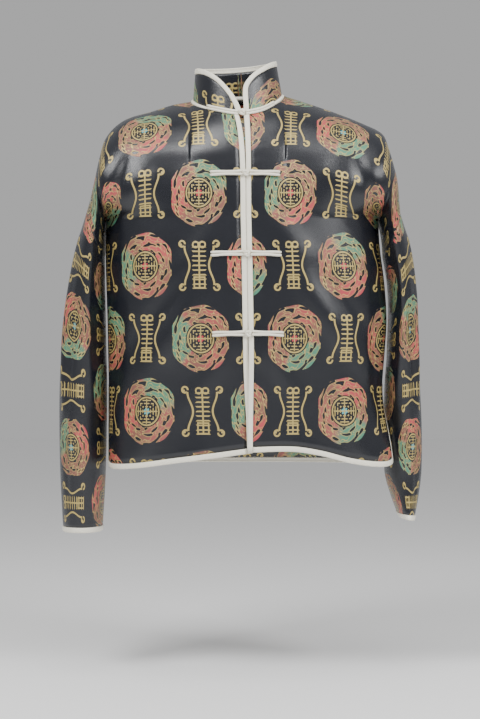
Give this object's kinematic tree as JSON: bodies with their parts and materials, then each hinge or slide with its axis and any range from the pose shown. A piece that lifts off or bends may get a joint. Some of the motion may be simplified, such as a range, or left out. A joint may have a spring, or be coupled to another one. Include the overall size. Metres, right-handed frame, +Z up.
{
  "type": "tang jacket",
  "caption": "Man's black brocade tang jacket with a stand collar, ivory satin bindings and four corded frogs, shaped as worn.",
  "frame": {"origin": "between the shoulders, at the level where they meet the neck, where the wearer carries the jacket", "axes": "+Z up, -Y towards the front opening, +X towards the wearer's left"},
  "size_m": [0.5996, 0.2375, 0.7762],
  "materials": {
    "brocade": "satin",
    "ivory_satin": "satin"
  },
  "bodies": {
    "root": {"back": "brocade", "collar": "brocade", "collar_binding": "ivory_satin", "cuff_binding_left": "ivory_satin", "cuff_binding_right": "ivory_satin", "frog_chest_knot": "ivory_satin", "frog_chest_left": "ivory_satin", "frog_chest_right": "ivory_satin", "frog_lower_knot": "ivory_satin", "frog_lower_left": "ivory_satin", "frog_lower_right": "ivory_satin", "frog_neck_knot": "ivory_satin", "frog_neck_left": "ivory_satin", "frog_neck_right": "ivory_satin", "frog_waist_knot": "ivory_satin", "frog_waist_left": "ivory_satin", "frog_waist_right": "ivory_satin", "front_binding_left": "ivory_satin", "front_binding_right": "ivory_satin", "front_left": "brocade", "front_right": "brocade", "hem_binding_back": "ivory_satin", "hem_binding_front_left": "ivory_satin", "hem_binding_front_right": "ivory_satin", "neck_piping": "ivory_satin", "placket": "brocade", "sleeve_left": "brocade", "sleeve_right": "brocade"}
  },
  "joints": []
}
